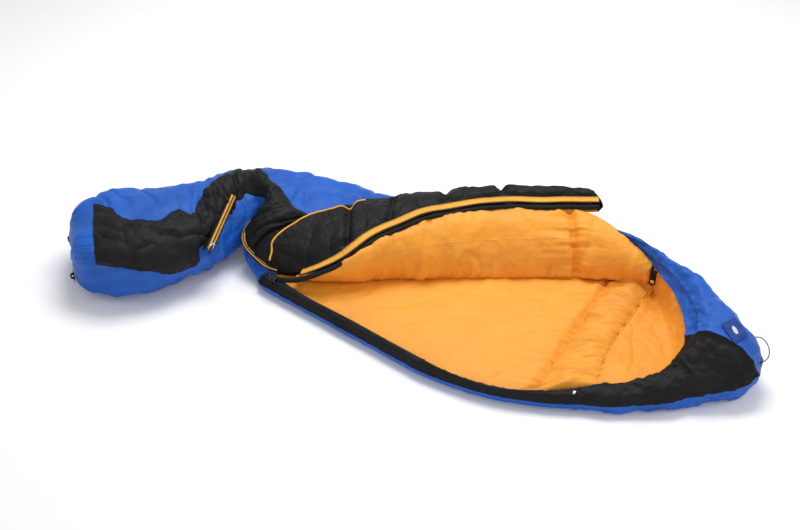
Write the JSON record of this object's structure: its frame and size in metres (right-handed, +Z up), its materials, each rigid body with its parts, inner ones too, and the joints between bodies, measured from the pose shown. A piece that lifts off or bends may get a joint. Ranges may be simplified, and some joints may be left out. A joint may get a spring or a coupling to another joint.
{
  "type": "mummy sleeping bag",
  "caption": "Mummy sleeping bag laid open: quilted lower half, accordion-folded lid with zip, hooded head end, tapered foot section bent to one side.",
  "frame": {"origin": "bottom centre of the bag's bounding box, on the floor", "axes": "+X from the foot towards the hood along the bag's body, -Y the zip side, +Z up"},
  "size_m": [2.1882, 1.0536, 0.2438],
  "materials": {
    "royal_blue_shell": "light-sheen ripstop nylon",
    "black_shell": "matt black nylon",
    "orange_lining": "smooth soft polyester lining",
    "insulation": "lofty synthetic fibre",
    "black_trim": "woven black trim",
    "zip_tape_yellow": "woven zip tape",
    "zip_tape_black": "woven zip tape",
    "zip_coil": "black coil",
    "zip_metal": "nickel plated",
    "stud_brass": "pale brass",
    "webbing": "black webbing",
    "hook_loop": "grey hook-and-loop",
    "patch": "sewn patch",
    "cord_lock_plastic": "moulded nylon",
    "spring_steel": "spring wire",
    "shock_cord": "braided elastic cord"
  },
  "bodies": {
    "bag": {"foot_shell": "royal_blue_shell", "foot_top_panel": "black_shell", "foot_fill": "insulation", "foot_lining": "orange_lining", "foot_end_panel": "royal_blue_shell", "foot_zip_placket": "black_trim", "foot_zip_tape": "zip_tape_yellow", "foot_zip_chain": "zip_coil", "foot_zip_stop": "zip_metal", "foot_hang_loop": "webbing", "foot_floor_loop": "webbing", "foot_web_tab": "black_trim", "lower_shell": "royal_blue_shell", "lower_fill": "insulation", "lower_lining": "orange_lining", "lower_collar": "orange_lining", "lower_draft_band": "black_trim", "side_baffle": "black_shell", "upper_lining": "orange_lining", "upper_fill": "insulation", "upper_shell": "royal_blue_shell", "lower_zip_tape": "zip_tape_black", "lower_zip_coil": "zip_coil", "lower_zip_stop": "zip_metal", "hood_lower_panel": "black_shell", "hood_upper_panel": "royal_blue_shell", "hood_fill": "insulation", "hood_lining": "orange_lining", "hood_hem": "black_trim", "hood_patch": "patch", "cord_lock_barrel": "cord_lock_plastic", "cord_lock_spring": "spring_steel", "hood_eyelet": "cord_lock_plastic", "hood_cord": "shock_cord", "neck_tab_anchor": "webbing", "hook_loop_base": "hook_loop"},
    "lid_inner": {"lid_inner_lining": "orange_lining", "lid_inner_fill": "insulation", "lid_inner_shell": "royal_blue_shell", "lid_inner_collar": "orange_lining"},
    "lid_outer": {"lid_outer_lining": "orange_lining", "lid_outer_fill": "insulation", "lid_outer_shell": "black_shell", "lid_outer_collar": "orange_lining", "lid_zip_tape": "zip_tape_yellow", "lid_zip_coil": "zip_coil", "lid_draft_tube": "black_trim", "lid_zip_stop": "zip_metal"},
    "near_slider": {"near_slider": "zip_metal", "near_pull_pin": "zip_metal"},
    "near_pull": {"near_pull": "zip_metal"},
    "foot_slider": {"foot_slider": "zip_metal", "foot_slider_wing": "zip_metal", "foot_pull_pin": "zip_metal"},
    "foot_pull": {"foot_pull": "zip_metal"},
    "cord_lock_button": {"cord_lock_button": "cord_lock_plastic"},
    "neck_tab": {"neck_tab": "webbing", "press_stud_cap": "stud_brass"},
    "hook_loop_tab": {"hook_loop_tab": "hook_loop"}
  },
  "joints": [
    {"name": "lid_fold", "type": "hinge", "parent": "bag", "child": "lid_inner", "pos_m": [-0.4172, -0.2252, 0.1225], "axis": [0.8996, 0.4368, 0], "range_deg": [0, 180]},
    {"name": "lid_turn", "type": "hinge", "parent": "lid_inner", "child": "lid_outer", "pos_m": [-0.4172, -0.2252, 0.1775], "axis": [0.7181, 0.6959, 0], "range_deg": [-180, 0]},
    {"name": "near_slider_travel", "type": "slide", "parent": "bag", "child": "near_slider", "axis": [0.9787, -0.2055, 0], "range_m": [0, 0.5]},
    {"name": "near_pull_swing", "type": "hinge", "parent": "near_slider", "child": "near_pull", "pos_m": [-0.372, -0.23622, 0.078], "axis": [0.9787, -0.2055, 0], "range_deg": [-120, 0]},
    {"name": "foot_slider_travel", "type": "slide", "parent": "bag", "child": "foot_slider", "axis": [-0.1813, 0.9411, 0.2854], "range_m": [0, 0.22]},
    {"name": "foot_pull_swing", "type": "hinge", "parent": "foot_slider", "child": "foot_pull", "pos_m": [-0.55516, -0.27324, 0.16441], "axis": [-0.7616, -0.318, 0.5646], "range_deg": [0, 150]},
    {"name": "cord_lock_press", "type": "slide", "parent": "bag", "child": "cord_lock_button", "axis": [0.6112, 0.7915, 0], "range_m": [0, 0.004], "stiffness_N_per_m": 300, "springref_m": -0.001, "deforming": ["cord_lock_spring"]},
    {"name": "neck_tab_lift", "type": "hinge", "parent": "bag", "child": "neck_tab", "pos_m": [0.7108, 0.2358, 0.158], "axis": [1, 0, 0], "range_deg": [-110, 0]},
    {"name": "hook_loop_lift", "type": "hinge", "parent": "bag", "child": "hook_loop_tab", "pos_m": [0.6668, -0.2592, 0.052], "axis": [0, 1, 0], "range_deg": [0, 120]}
  ],
  "couplings": [
    {"joint": "lid_turn", "follows": "lid_fold", "ratio": -1}
  ]
}
